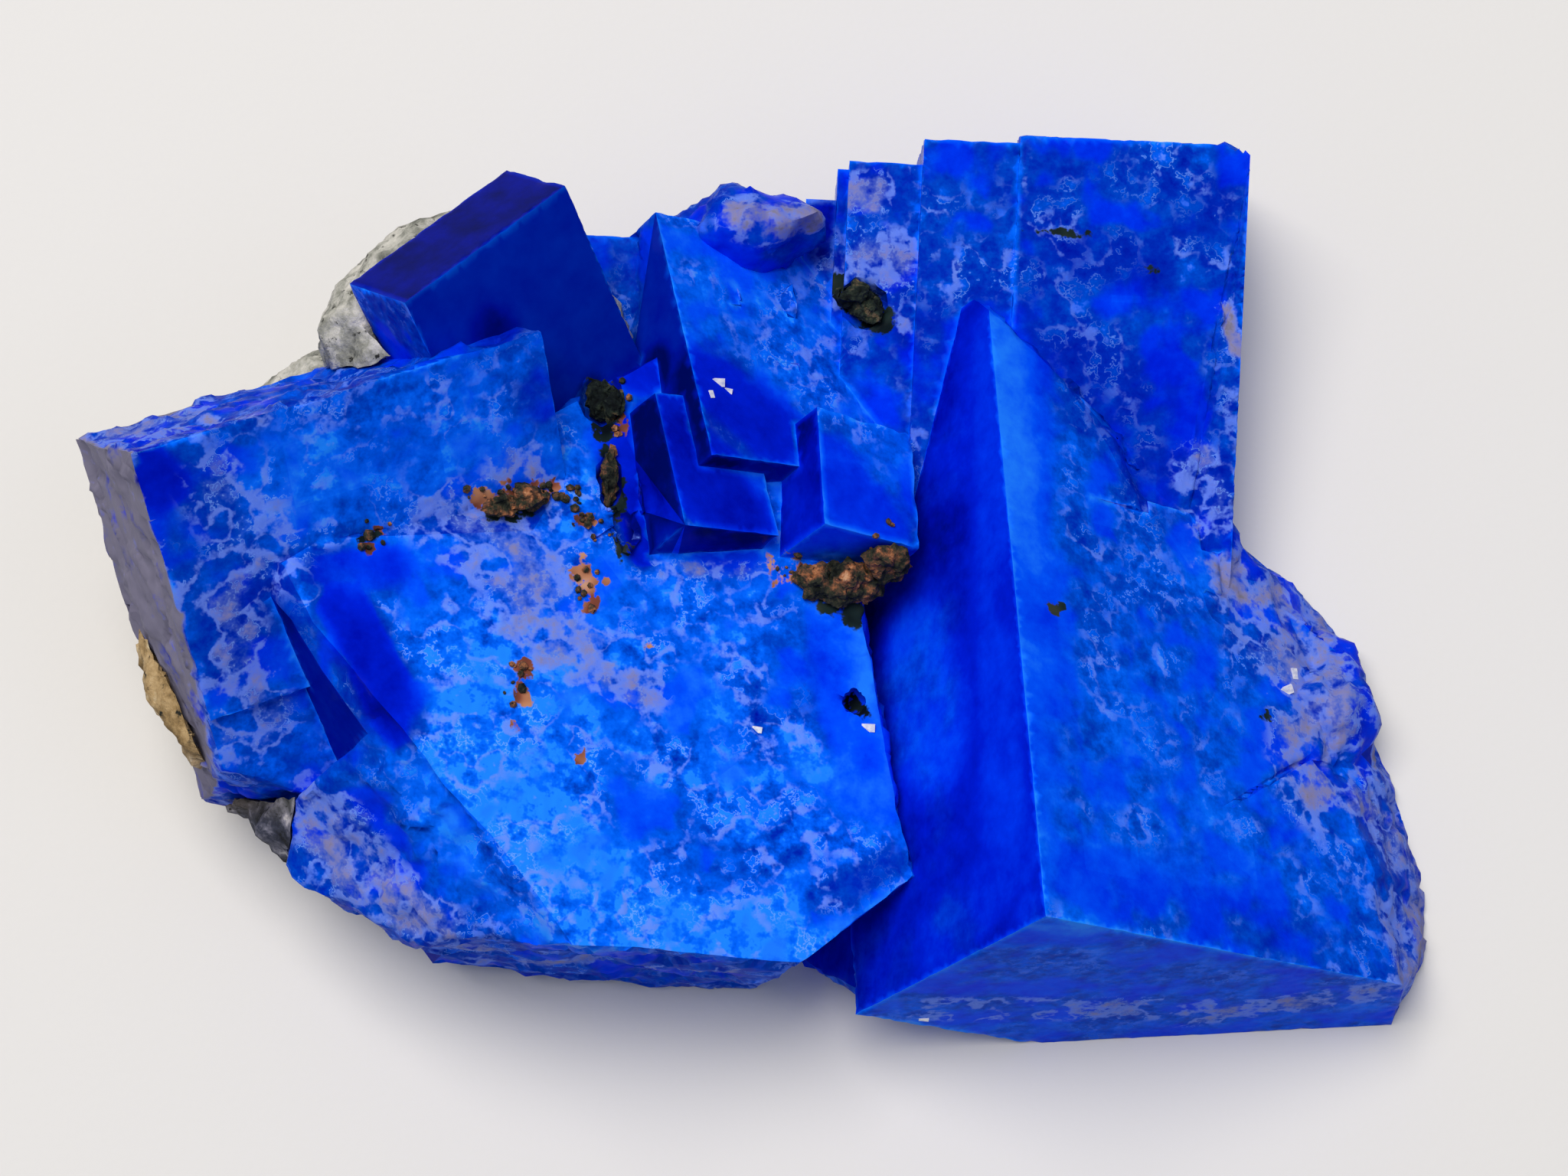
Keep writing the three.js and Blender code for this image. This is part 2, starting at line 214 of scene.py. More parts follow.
LAVENDER = [                         # where the blue runs out: broken rims and thick veins
    ((-42, 7.5), (-40, 2), 1.8, 1.0),
    ((-40, 2), (-37, -9), 1.6, 0.8),
    ((-37, -9), (-34.5, -11), 1.5, 0.7),
    ((-38, 10.5), (-31, 10), 0.4, 0.7),
    ((-33, 6), (-31, 2), 2.6, 0.34),
    ((-34, -1), (-31.5, -9), 2.5, 0.46),
    ((-28, -13), (-25, -17), 2.6, 0.58),
    ((-25, -17), (-21, -20), 2.0, 0.62),
    ((-22, -19.5), (-17.5, -21.5), 1.3, 0.6),
    ((-19, -22), (-3, -22.5), 0.6, 0.6),
    ((-20, 4), (-17, 2), 2.4, 0.45),
    ((-15.5, 6), (-15, 0.5), 2.6, 0.55),
    ((-15, -2.5), (-12, -4), 2.2, 0.6),
    ((-12, -4), (-8.5, -6), 1.6, 0.55),
    ((-7.5, 1), (-1, 1), 0.5, 0.42),
    ((3.5, 18.5), (6.5, 19.5), 1.9, 0.55),
    ((4, 23.5), (5.5, 23.5), 1.2, 0.55),
    ((7, 15.5), (10, 19), 0.6, 0.5),
    ((-2.5, 22.4), (1.5, 21.9), 1.6, 0.85),
    ((26, 1), (31.5, -2.5), 2.2, 0.64),
    ((31, -3), (36, -9), 3.2, 0.62),
    ((27.5, -2), (32, -8), 2.4, 0.42),
    ((36, -10), (37, -15), 1.3, 0.6),
    ((37.5, -18), (38, -23), 0.9, 0.5),
    ((9, -25), (24, -25), 1.9, 0.46),
    ((24, -25.5), (35, -24), 1.6, 0.55),
    ((26.3, 16.5), (26.9, 14), 0.5, 0.8),
    ((24.5, 7), (26, 3), 1.6, 0.42),
]
CLEARER = [                          # where few veins run and the blue is purest
    ((13, 15), (13, -16), 3.4, 1.0),
    ((3, -2), (5, -12), 2.6, 0.9),
    ((15, -17), (24, -17), 2.0, 0.7),
    ((-9, 8), (-2, 3), 3.0, 1.0),
    ((2, 7), (5, 4), 2.6, 1.0),
    ((-8, 20), (-6.5, 11), 1.6, 0.8),
]
PALE_RIMS = [                        # side (1 is right), where it begins, least turn outward, how pale
    (-1, 33.0, 0.1, 1.15),
    (1, 32.0, 0.6, 0.8),
]
RUST_STAINS = [                      # iron stains in pits and cracks
    ((-15.5, -4.5), (-15.5, -6.5), 0.45, 1.0),
    ((-16, -8), (-15.8, -8.3), 0.25, 0.8),
    ((-12, 1.5), (-11.5, -1), 0.55, 0.9),
    ((-10.7, 0.7), (-10.5, 0.6), 0.35, 0.9),
    ((-12, -9.8), (-12.1, -10.1), 0.35, 0.8),
    ((-8.1, -3.4), (-8, -3.5), 0.25, 0.8),
    ((-24.1, 3.4), (-23.8, 3.3), 0.3, 0.9),
    ((-24.6, 2.4), (-24.5, 2.2), 0.3, 0.9),
    ((-18, 5.5), (-14, 5.8), 0.7, 0.8),
    ((-12, 4), (-11.5, 4), 0.6, 0.8),
    ((-0.2, 1), (4.8, 0), 1.1, 0.7),
    ((-10.2, 11.5), (-9.6, 9.5), 0.5, 0.9),
]
DARK_STAINS = [                      # greenish-black matter in the deepest seams
    ((-11, 13), (-10.6, 9.5), 0.8, 1.0),
    ((-10.2, 8), (-9.5, 2.2), 0.5, 0.9),
    ((3.5, 18), (5.7, 16), 1.0, 1.0),
    ((1.2, 0.4), (3.9, -1.5), 0.9, 0.8),
    ((15.7, -1.5), (16.4, -1), 0.3, 0.9),
    ((28.5, -7.4), (28.7, -7.5), 0.3, 1.0),
    ((3.9, -6.7), (4.6, -7.6), 0.5, 0.9),
    ((13.7, 21.2), (18.2, 21), 0.25, 0.7),
    ((21.9, 19.1), (22, 18.7), 0.35, 0.9),
    ((-17.2, 4.4), (-14.7, 4.5), 0.5, 0.8),
    ((-25, 3), (-24, 3.2), 0.3, 0.8),
]
LEDGE_FACES = [                      # the cube faces that carry growth ledges: cube, axis and side
    ("right cube", 1, -1),
    ("upper crystal", 1, -1),
    ("top right cube", 2, 1),
    ("front cube", 2, 1),
    ("left cube", 2, 1),
]
LEDGE_RISE = (0.1, 0.56)             # how far a ledge stands off its cube face, in millimetres
LEDGE_LARGEST = 60                   # largest area of the ledges at one height, in square millimetres
LEDGE_LIGHT = 0.05                   # how much lighter the blue is on a ledge
ONE_PLANE = 0.9996                   # cosine within which a ledge and its base have one direction
PARALLEL = 0.99999                   # cosine within which two triangles lie in one flat part
PLANE_GAP = 0.01                     # smallest step between two parallel planes, in millimetres
THIN = 0.004 * MM                    # a triangle lower than this is only a line
ROUGH_STEP = 2.6                     # size and depth of the humps on a broken surface, in millimetres
ROUGH_DEPTH = 0.3
CLEAVAGE_STEP = 2.2                  # size and depth of the square steps on it
CLEAVAGE_DEPTH = 0.22
NICK_SIZE = 1.3                      # size and depth of the nicks along the edges of the cubes
NICK_DEPTH = 0.18
NICKED_SHARE = 0.15                  # the higher, the more of an edge is nicked
EDGE_BELOW = 0.97                    # a vertex is on an edge if the faces round it are less alike
RESTING_BELOW = -0.999               # faces turned down this squarely are what the specimen rests on
UNDERSIDE_BELOW = -0.2               # faces turned away from the display side are broken and pale
UNDERSIDE_PALENESS = 0.35
CLOUD_STEP = 5.0                     # clouds in the blue, in millimetres
CLOUD_CHANGE = (0.04, 0.12)          # how much they change its level: on any face, and more with veins
VEIN_STEP = 3.4                      # patches with more and fewer veins, in millimetres
VEIN_SHARE = 0.55                    # how veined such a patch is on the average
VEINS_LOST = 2.5                     # how fast the veins go where the blue gets deeper
PAINTED_EDGE_GLOW = 0.34                     # painted glow: the blue is painted lighter along the edges of a clear cube
GROWTH_CREASE = math.radians(22)     # edges sharper than this stay sharp
MOTTLE_SIZE = 1.2                    # milky mottles, threads and etch pits, in millimetres
THREAD_SIZE = 2.6
ETCH_SIZE = 0.6
PALE_VEINS = 0.7                     # how strongly the pale veins and the fine cracks show
FINE_CRACKS = 0.65
FLUORITE_IOR = 1.434
FLUORITE_SHINE = 0.006               # the faces reflect almost nothing in this light


def make_active(piece):
    deselect_all()
    piece.select_set(True)
    bpy.context.view_layer.objects.active = piece


def weld(mesh, merge=True):
    """Merges vertices that share a place, and drops edges and faces that collapse to nothing."""
    work = bmesh.new()
    work.from_mesh(mesh)
    if merge:
        bmesh.ops.remove_doubles(work, verts=work.verts, dist=WELD_DISTANCE)
    bmesh.ops.dissolve_degenerate(work, edges=work.edges, dist=WELD_DISTANCE)
    bmesh.ops.triangulate(work, faces=work.faces)
    work.to_mesh(mesh)
    work.free()


def plain_copy(node_name, piece_name):
    """A copy of a CAD node's mesh with its vertices merged."""
    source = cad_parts[node_name]
    piece = bpy.data.objects.new(piece_name, source.data.copy())
    piece.data.name = piece_name
    bpy.context.scene.collection.objects.link(piece)
    piece.data.materials.clear()
    weld(piece.data)
    return piece


def even_out(work):
    """Turns the inner edges of flat parts so that their triangles get even, and thin ones go."""
    inner_edges = {}                 # in their own order, so that every run gives the same mesh
    for edge in work.edges:
        sides = edge.link_faces
        if len(sides) == 2 and sides[0].material_index == sides[1].material_index:
            if sides[0].normal.dot(sides[1].normal) > PARALLEL:
                inner_edges[edge] = True
    for face in work.faces:
        longest = max(face.edges, key=lambda edge: edge.calc_length())
        if 2 * face.calc_area() < THIN * longest.calc_length():
            inner_edges[longest] = True
    bmesh.ops.beautify_fill(work, faces=work.faces, edges=list(inner_edges), method="ANGLE")
    work.normal_update()


def split_edges(mesh, longest_edge, passes):
    """Splits the long edges of a triangle mesh again and again, so that it can carry fine relief."""
    work = bmesh.new()
    work.from_mesh(mesh)
    for _ in range(passes):
        even_out(work)
        long_edges = [edge for edge in work.edges if edge.calc_length() > longest_edge]
        bmesh.ops.subdivide_edges(work, edges=long_edges, cuts=1)
        bmesh.ops.triangulate(work, faces=work.faces)
        bmesh.ops.dissolve_degenerate(work, edges=work.edges, dist=WELD_DISTANCE)
        bmesh.ops.triangulate(work, faces=work.faces)
        work.normal_update()
    work.to_mesh(mesh)
    work.free()


def read_mesh(mesh):
    """A triangle mesh's places in millimetres and its face normals, display side facing +Z."""
    places = np.zeros(len(mesh.vertices) * 3)
    mesh.vertices.foreach_get("co", places)
    corners = np.zeros(len(mesh.loops), dtype=int)
    mesh.loops.foreach_get("vertex_index", corners)
    normals = np.zeros(len(mesh.polygons) * 3)
    mesh.polygons.foreach_get("normal", normals)
    turn = np.array(display_turn)
    places = (places.reshape(-1, 3) - np.array(DISPLAY_MIDDLE)) @ turn / MM
    return places, corners.reshape(-1, 3), normals.reshape(-1, 3) @ turn


def write_places(mesh, places):
    """Puts display-side millimetres back into a mesh; nothing goes below the face it rests on."""
    row_places = places @ np.array(display_turn).T * MM + np.array(DISPLAY_MIDDLE)
    row_places[:, 2] = np.maximum(row_places[:, 2], 0)
    mesh.vertices.foreach_set("co", row_places.ravel())
    mesh.update()


def smooth_noise(places, step, seed, octaves=3):
    """Layered noise at each place, about -1 to 1; the step is in millimetres."""
    shift = Vector((seed * 7.3, seed * -3.1, seed * 1.7))
    return np.array([noise.fractal(Vector(place) / step + shift, 0.7, 2.1, octaves) for place in places])


def corner_normals(places, corners, normals):
    """The mean direction of the faces round each vertex, and how alike they are (1 where flat)."""
    total = np.zeros((len(places), 3))
    count = np.zeros(len(places))
    for k in range(3):
        np.add.at(total, corners[:, k], normals)
        np.add.at(count, corners[:, k], 1)
    length = np.linalg.norm(total, axis=1)
    return total / (length[:, None] + 1e-9), length / np.maximum(count, 1)


def square_axes(first, second):
    """Three square directions from an edge direction and one that is nearly square to it."""
    a = np.array(first) / np.linalg.norm(first)
    b = np.array(second) - a * np.dot(a, second)
    b = b / np.linalg.norm(b)
    return np.array([a, b, np.cross(a, b)])


def seen_at(right, up):
    """The place on the growth that the camera sees at a spot of the display side, and its normal."""
    target = DISPLAY_MIDDLE + display_turn @ Vector((right, up, 0)) * MM
    hit, normal, _, _ = growth_sight.ray_cast(eye, (target - eye).normalized())
    if hit is None:
        hit, normal, _, _ = growth_sight.find_nearest(target)
    return hit, normal


def display_place(place):
    """A place of the row frame in display-side millimetres."""
    return np.array(display_turn.transposed() @ (place - DISPLAY_MIDDLE)) / MM


def along_strokes(places, strokes):
    """How strongly a list of strokes reaches each place: full on a stroke, fading past its reach."""
    reach = np.zeros(len(places))
    for (x1, y1), (x2, y2), radius, strength in strokes:
        start = display_place(seen_at(x1, y1)[0])
        end = display_place(seen_at(x2, y2)[0])
        run = end - start
        share = np.clip((places - start) @ run / max(run @ run, 1e-6), 0, 1)
        away = np.linalg.norm(places - start - share[:, None] * run, axis=1)
        fade = np.clip(1.5 - away / radius, 0, 1)
        fade = strength * fade * fade * (3 - 2 * fade)
        reach = np.where(np.abs(fade) > np.abs(reach), fade, reach)
    return reach


growth = plain_copy("fluorite_cluster", "fluorite_growth")

# Growth ledges are lowered flat onto their cube face, and show only as lighter squares
cube_axes = {cube: square_axes(*pair) for cube, pair in CRYSTAL_AXES.items()}
places, corners, normals = read_mesh(growth.data)
face_areas = np.zeros(len(normals))
growth.data.polygons.foreach_get("area", face_areas)
face_areas = face_areas / MM ** 2
on_ledge = np.zeros(len(normals), dtype=bool)
for cube, i, side in LEDGE_FACES:
    remaining = np.flatnonzero(normals @ cube_axes[cube][i] * side > SAME_DIRECTION)
    while len(remaining):
        facing = normals[remaining[np.argmax(face_areas[remaining])]]
        parallel = remaining[normals[remaining] @ facing > ONE_PLANE]
        remaining = np.setdiff1d(remaining, parallel)
        heights = places[corners[parallel, 0]] @ facing
        order = np.argsort(heights)
        plane = np.zeros(len(parallel), dtype=int)
        plane[order[1:]] = np.cumsum(np.diff(heights[order]) > PLANE_GAP)
        areas = np.bincount(plane, weights=face_areas[parallel])
        levels = np.bincount(plane, weights=heights) / np.bincount(plane)
        for k in np.flatnonzero(areas < LEDGE_LARGEST):
            drops = levels[k] - levels
            is_base = (drops > LEDGE_RISE[0]) & (drops < LEDGE_RISE[1]) & (areas > 2 * areas[k])
            if is_base.any():
                base = levels[is_base][np.argmax(areas[is_base])]
                tops = np.unique(corners[parallel[plane == k]])
                places[tops] -= facing * (places[tops] @ facing - base)[:, None]
                on_ledge[parallel[plane == k]] = True
growth.data.polygons.foreach_set("material_index", on_ledge.astype(np.int32))
write_places(growth.data, places)
weld(growth.data, merge=False)
split_edges(growth.data, LONGEST_EDGE, SPLIT_PASSES)
growth_sight = BVHTree.FromPolygons(
    [vertex.co.copy() for vertex in growth.data.vertices],
    [tuple(face.vertices) for face in growth.data.polygons],
)

places, corners, normals = read_mesh(growth.data)
on_ledge = np.zeros(len(normals), dtype=np.int32)
growth.data.polygons.foreach_get("material_index", on_ledge)
on_cube = np.zeros(len(normals), dtype=bool)
for axes in cube_axes.values():
    on_cube |= (np.abs(normals @ axes.T) > SAME_DIRECTION).any(axis=1)
face_level = np.full(len(normals), BROKEN_LOOK[0])
is_clear = np.zeros(len(normals), dtype=bool)
face_veins = np.full(len(normals), BROKEN_LOOK[1])
# Each face's level is partly painted light: lighter on faces turned to the right, darker on faces turned to
# the left
for cube, i, side, level, veins in FACE_LOOKS:
    matches = normals @ cube_axes[cube][i] * side > SAME_DIRECTION
    face_level[matches] = level
    face_veins[matches] = veins
    is_clear[matches] = veins <= CLEAR_BELOW

# Rough up what is broken, with humps and square cleavage steps, and nick the edges of the cubes
outward, alike = corner_normals(places, corners, normals)
at_rest = (normals @ np.array(display_turn).T)[:, 2] < RESTING_BELOW
touches_cube = np.zeros(len(places), dtype=bool)
touches_cube[np.unique(corners[on_cube | at_rest])] = True
only_cube = np.ones(len(places), dtype=bool)
only_cube[np.unique(corners[~on_cube])] = False
cleaved = (places @ cube_axes["right cube"].T) / CLEAVAGE_STEP
blocks = np.array([noise.cell(Vector(place)) for place in cleaved])
humps = smooth_noise(places, ROUGH_STEP, seed=3, octaves=4) * ROUGH_DEPTH + blocks * CLEAVAGE_DEPTH
nicks = np.clip(smooth_noise(places, NICK_SIZE, seed=5) + NICKED_SHARE, 0, 1) * NICK_DEPTH
on_edge = (alike < EDGE_BELOW) & touches_cube
move = np.where(touches_cube, 0, humps)
move = np.where(on_edge, -nicks, move)
write_places(growth.data, places + outward * move[:, None])

# The level of the blue, lavender, rust and dark matter, kept at the corners of the faces
corner_of = corners.ravel()
clouds = smooth_noise(places, CLOUD_STEP, seed=11, octaves=5)
# The strokes change the level, partly with painted sheen and painted shade
change = along_strokes(places, BRIGHTER) + along_strokes(places, DEEPER)
# Painted glow along the edges of the cubes
change += np.where(on_edge & only_cube, PAINTED_EDGE_GLOW, 0)
level_at = np.repeat(face_level, 3) + change[corner_of]
level_at += np.repeat(on_ledge * LEDGE_LIGHT, 3)
level_at += clouds[corner_of] * (CLOUD_CHANGE[0] + CLOUD_CHANGE[1] * np.repeat(face_veins, 3))
facing_down = np.repeat(normals[:, 2] < UNDERSIDE_BELOW, 3)
marks = np.ones((len(corner_of), 4))
marks[:, 0] = np.clip(level_at, 0, 1)
marks[:, 1] = np.where(facing_down, UNDERSIDE_PALENESS, along_strokes(places, LAVENDER)[corner_of])
for side, beyond, turned, amount in PALE_RIMS:
    on_rim = np.clip(3 * (outward[:, 0] * side - turned), 0, 1)
    on_rim *= np.clip(places[:, 0] * side - beyond, 0, 1)
    marks[:, 1] = np.maximum(marks[:, 1], amount * on_rim[corner_of])
marks[:, 2] = along_strokes(places, RUST_STAINS)[corner_of]
marks[:, 3] = along_strokes(places, DARK_STAINS)[corner_of]
growth.data.attributes.new("marks", "FLOAT_COLOR", "CORNER").data.foreach_set("color", marks.ravel())
vein_patches = np.clip(VEIN_SHARE + smooth_noise(places, VEIN_STEP, seed=17), 0, 1)
vein_values = vein_patches[corner_of] * np.repeat(face_veins, 3)
vein_values *= np.clip(1 + VEINS_LOST * np.minimum(change, 0), 0, 1)[corner_of]
vein_values *= 1 - along_strokes(places, CLEARER)[corner_of]
growth.data.attributes.new("veined", "FLOAT", "CORNER").data.foreach_set("value", vein_values)
make_active(growth)
bpy.ops.object.shade_smooth_by_angle(angle=GROWTH_CREASE)

# Fluorite is glassy, with a low refractive index. This one is blue from inside, milky with mottles
# and veins, so that it looks azure and almost opaque where it is veined.
blue, blue_shader, blue_place = new_material("cloudy_blue_fluorite")


def soft_step(material, value, low, high):
    """0 below low, 1 above high, smooth between."""
    return add_node(
        material,
        "MapRange",
        {"interpolation_type": "SMOOTHSTEP", "From Min": low, "From Max": high},
        {"Value": value},
    ).outputs["Result"]


def noise_of(material, place, size_mm, detail, roughness=0.6):
    """Noise whose largest patches are about size_mm across."""
    return add_node(
        material,
        "TexNoise",
        {"Scale": 1 / (size_mm * MM), "Detail": detail, "Roughness": roughness},
        {"Vector": place},
    ).outputs["Fac"]


def calculate(material, operation, *values):
    """A maths node on numbers and outputs."""
    node = add_node(material, "Math", {"operation": operation})
    for i, value in enumerate(values):
        if isinstance(value, (int, float)):
            node.inputs[i].default_value = value
        else:
            material.node_tree.links.new(value, node.inputs[i])
    return node.outputs[0]


def swing(material, value, amount, middle=0.5):
    """How far a noise is above or below its middle, times an amount."""
    return calculate(material, "MULTIPLY", calculate(material, "SUBTRACT", value, middle), amount)


def mixed(material, share, colour_a, colour_b):
    """Colour A turning to colour B by a share; either may be a hex value or an output."""
    node = add_node(material, "Mix", {"data_type": "RGBA"}, {0: share})
    for i, colour in ((6, colour_a), (7, colour_b)):
        if isinstance(colour, str):
            node.inputs[i].default_value = linear(colour)
        else:
            material.node_tree.links.new(colour, node.inputs[i])
    return node.outputs[2]


def ramp_of(material, value, stops):
    """A colour ramp with hex colours at the given positions."""
    node = add_node(material, "ValToRGB", links={"Fac": value})
    ramp = node.color_ramp
    while len(ramp.elements) < len(stops):
        ramp.elements.new(0.5)
    for element, (position, colour) in zip(ramp.elements, stops):
        element.position = position
        element.color = linear(colour)
    return node.outputs["Color"]


def broken_patch(material, amount, ragged, low, high):
    """An amount given on the mesh, with its rim broken up by noise; 0 where nothing was given."""
    present = soft_step(material, amount, 0.02, 0.25)
    torn = soft_step(material, calculate(material, "ADD", amount, ragged), low, high)
    return calculate(material, "MULTIPLY", present, torn)


mark_node = add_node(blue, "VertexColor", {"layer_name": "marks"})
mark_parts = add_node(blue, "SeparateColor", links={"Color": mark_node.outputs["Color"]})
given_level = mark_parts.outputs["Red"]
lavender = mark_parts.outputs["Green"]
rust = mark_parts.outputs["Blue"]
dark_matter = mark_node.outputs["Alpha"]
veined = add_node(blue, "Attribute", {"attribute_name": "veined"}).outputs["Fac"]
mottle = noise_of(blue, blue_place, MOTTLE_SIZE, 3.5, 0.68)
threads = noise_of(blue, blue_place, THREAD_SIZE, 2, 0.5)

# The body: purer and deeper where it is clear, azure where veins scatter the light
BLUES = [
    (0.0, "#000a5e"),
    (0.22, "#00129e"),
    (0.45, "#002ab2"),
    (0.62, "#0042c2"),
    (0.78, "#0058ea"),
    (0.92, "#0668ff"),
    (1.0, "#1c82ff"),
]
PURE_BLUES = [
    (0.0, "#000860"),
    (0.22, "#000eaa"),
    (0.45, "#001ed2"),
    (0.62, "#0034ea"),
    (0.8, "#0250fa"),
    (1.0, "#1c78ff"),
]
mottling = swing(blue, mottle, calculate(blue, "MULTIPLY_ADD", veined, 1.9, 0.35))
blue_level = calculate(blue, "ADD", given_level, mottling)
azure_share = soft_step(blue, veined, 0.02, 0.26)
pure_blue = ramp_of(blue, blue_level, PURE_BLUES)
azure = ramp_of(blue, blue_level, BLUES)
body_blue = mixed(blue, azure_share, pure_blue, azure)

# Healed cracks: pale walls where one noise crosses its middle, broken into strokes by the other,
# pale flecks between them, and finer light blue cracks where the second noise crosses its middle
on_faces = soft_step(blue, veined, 0.12, 0.7)
on_rims = soft_step(blue, lavender, 0.02, 0.3)
vein_gate = calculate(blue, "MAXIMUM", on_faces, on_rims)
walls = calculate(blue, "ABSOLUTE", calculate(blue, "SUBTRACT", threads, 0.5))
least_width = calculate(blue, "MULTIPLY_ADD", mottle, 0.3, -0.125)
wall_width = calculate(blue, "MULTIPLY_ADD", lavender, 0.06, least_width)
strokes = soft_step(blue, calculate(blue, "SUBTRACT", wall_width, walls), -0.012, 0.04)
flecks = soft_step(blue, mottle, 0.64, 0.73)
vein_share = calculate(blue, "MULTIPLY", calculate(blue, "MAXIMUM", strokes, flecks), vein_gate)
fine_walls = calculate(blue, "ABSOLUTE", calculate(blue, "SUBTRACT", mottle, 0.54))
fine_lines = soft_step(blue, fine_walls, 0.02, 0.004)
fine_strokes = calculate(blue, "MULTIPLY", fine_lines, soft_step(blue, threads, 0.47, 0.56))
fine_share = calculate(blue, "MULTIPLY", fine_strokes, vein_gate)
cracked = mixed(blue, calculate(blue, "MULTIPLY", fine_share, FINE_CRACKS), body_blue, "#74a6ff")
with_veins = mixed(blue, calculate(blue, "MULTIPLY", vein_share, PALE_VEINS), cracked, "#6c8df2")

# Rims where the blue runs out, then iron and dark matter in pits and seams
PALES = [(0.15, "#2a4cc8"), (0.45, "#586fc8"), (0.7, "#777cba"), (0.88, "#7f7da8"), (1.0, "#77758c")]
RUSTS = [(0.3, "#2c2426"), (0.48, "#7a4436"), (0.6, "#b07a5c"), (0.75, "#c9a08a")]
DARKS = [(0.35, "#0a1018"), (0.52, "#1c2a2a"), (0.7, "#34392f")]
ragged = swing(blue, calculate(blue, "ADD", threads, mottle), 1.7, middle=1.0)
pale_share = broken_patch(blue, lavender, ragged, 0.34, 1.04)
pale_value = calculate(blue, "ADD", swing(blue, mottle, 1.6), lavender)
with_pale = mixed(blue, pale_share, with_veins, ramp_of(blue, pale_value, PALES))
crumbled = swing(blue, mottle, 3.4)
rust_share = broken_patch(blue, rust, crumbled, 0.45, 0.7)
with_rust = mixed(blue, rust_share, with_pale, ramp_of(blue, threads, RUSTS))
dark_share = broken_patch(blue, dark_matter, crumbled, 0.4, 0.7)
with_dark = mixed(blue, dark_share, with_rust, ramp_of(blue, threads, DARKS))
blue.node_tree.links.new(with_dark, blue_shader.inputs["Base Color"])

# Etch pits and growth hillocks in very low relief, strongest on the veined faces
pits = noise_of(blue, blue_place, ETCH_SIZE, 0)
etching = calculate(blue, "MULTIPLY", pits, calculate(blue, "MULTIPLY_ADD", veined, 1.2, 0.15))
add_relief(blue, blue_shader, etching, 0.5, 0.2 * MM)
face_roughness = calculate(blue, "MULTIPLY_ADD", veined, 0.22, 0.14)
roughness = calculate(blue, "MULTIPLY_ADD", pale_share, 0.2, face_roughness)
blue.node_tree.links.new(roughness, blue_shader.inputs["Roughness"])
blue_shader.inputs["IOR"].default_value = FLUORITE_IOR
blue_shader.inputs["Specular IOR Level"].default_value = FLUORITE_SHINE
growth.data.materials.append(blue)

# The small crystals and the smooth left faces are clearer: deep and even, with faint wisps, and
# a little light passes through them
clear, clear_shader, clear_place = new_material("clear_blue_fluorite")
clear_mark = add_node(clear, "VertexColor", {"layer_name": "marks"})
clear_parts = add_node(clear, "SeparateColor", links={"Color": clear_mark.outputs["Color"]})
wisps = noise_of(clear, clear_place, 2.2, 4, 0.62)
wisp_shift = swing(clear, wisps, 0.4)
clear_level = calculate(clear, "ADD", clear_parts.outputs["Red"], wisp_shift)
clear_ragged = calculate(clear, "MULTIPLY", wisp_shift, 6.0)
clear_pale = broken_patch(clear, clear_parts.outputs["Green"], clear_ragged, 0.5, 0.9)
clear_colour = mixed(clear, clear_pale, ramp_of(clear, clear_level, BLUES), "#9c9dcb")
clear.node_tree.links.new(clear_colour, clear_shader.inputs["Base Color"])
clear_shader.inputs["Roughness"].default_value = 0.12
clear_shader.inputs["IOR"].default_value = FLUORITE_IOR
clear_shader.inputs["Specular IOR Level"].default_value = FLUORITE_SHINE
clear_shader.inputs["Transmission Weight"].default_value = 0.08
clear_shader.inputs["Specular Tint"].default_value = linear("#2448f0")
growth.data.materials.append(clear)
growth.data.polygons.foreach_set("material_index", is_clear.astype(int))
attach(growth, "root")
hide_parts("fluorite_cluster")

# Host rock
# A thin, flaky rind of pale rock left on the back and the left rim, stained ochre by iron and darker
# towards the lower edge. The cubes grew on it.
ROCK_EDGE = 0.7 * MM                 # longer edges are split, in this many passes
ROCK_SPLITS = 5
ROCK_FLAKE = (2.6, 2.0, 1.2)         # length, width and thickness of the flakes, in millimetres
FLAKE_DEPTH = 0.42
ROCK_CREASE = math.radians(28)
OCHRE_FROM = (-29, 8)                # ochre stains come in left of and below this, over these distances
OCHRE_FADE = (5, 4)
LOWER_DARK_FROM = -9                       # the rock darkens below this, over this distance
LOWER_DARK_FADE = 5
GREY_ROCK = [(0.32, "#4c4f4c"), (0.45, "#8d8f88"), (0.56, "#bcbcb6"), (0.7, "#dedbd6")]
OCHRE_ROCK = [(0.34, "#4f4130"), (0.47, "#8e7650"), (0.58, "#b39a72"), (0.7, "#d3c4a4")]
DARK_ROCK = [(0.36, "#12151f"), (0.5, "#343848"), (0.6, "#6b6c7c"), (0.72, "#c3c1c6")]

rock = plain_copy("host_rock", "flaky_host_rock")
split_edges(rock.data, ROCK_EDGE, ROCK_SPLITS)
places, corners, normals = read_mesh(rock.data)
outward, _ = corner_normals(places, corners, normals)
flakes = smooth_noise(places / np.array(ROCK_FLAKE), 1.0, seed=23, octaves=4) * FLAKE_DEPTH
write_places(rock.data, places + outward * flakes[:, None])
ochre_and_lower_dark = np.ones((len(places), 4))
ochre_and_lower_dark[:, 0] = np.clip((np.array(OCHRE_FROM) - places[:, :2]) / OCHRE_FADE, 0, 1).prod(axis=1)
# Second channel: darker towards the lower edge
ochre_and_lower_dark[:, 1] = np.clip((LOWER_DARK_FROM - places[:, 1]) / LOWER_DARK_FADE, 0, 1)
rock.data.attributes.new("ochre_and_lower_dark", "FLOAT_COLOR", "POINT").data.foreach_set("color", ochre_and_lower_dark.ravel())
make_active(rock)
bpy.ops.object.shade_smooth_by_angle(angle=ROCK_CREASE)
